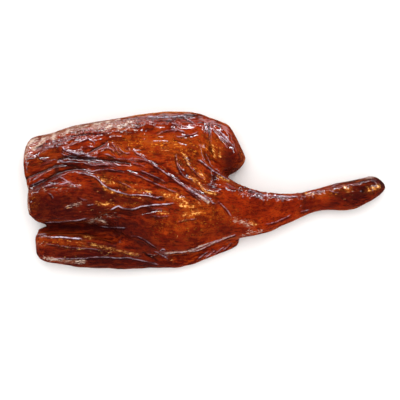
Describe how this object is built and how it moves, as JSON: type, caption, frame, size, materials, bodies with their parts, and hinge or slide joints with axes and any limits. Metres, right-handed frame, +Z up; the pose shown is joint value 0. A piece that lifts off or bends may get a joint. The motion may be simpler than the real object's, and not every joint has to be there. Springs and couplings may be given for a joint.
{
  "type": "roast goose leg",
  "caption": "Roast goose leg quarter, thigh with drumstick and shank in one piece, glazed skin in deep folds, lying skin side up.",
  "frame": {"origin": "under the middle of the leg, on the surface it lies on", "axes": "+X from the chopped thigh end to the hock, +Y from the belly edge to the back edge, +Z up, skin side"},
  "size_m": [0.3, 0.1314, 0.045],
  "materials": {
    "roast_skin": "glossy lacquered roast skin, deep red-brown, near black in the creases and at the hock"
  },
  "bodies": {
    "root": {"goose_leg": "roast_skin"}
  },
  "joints": []
}
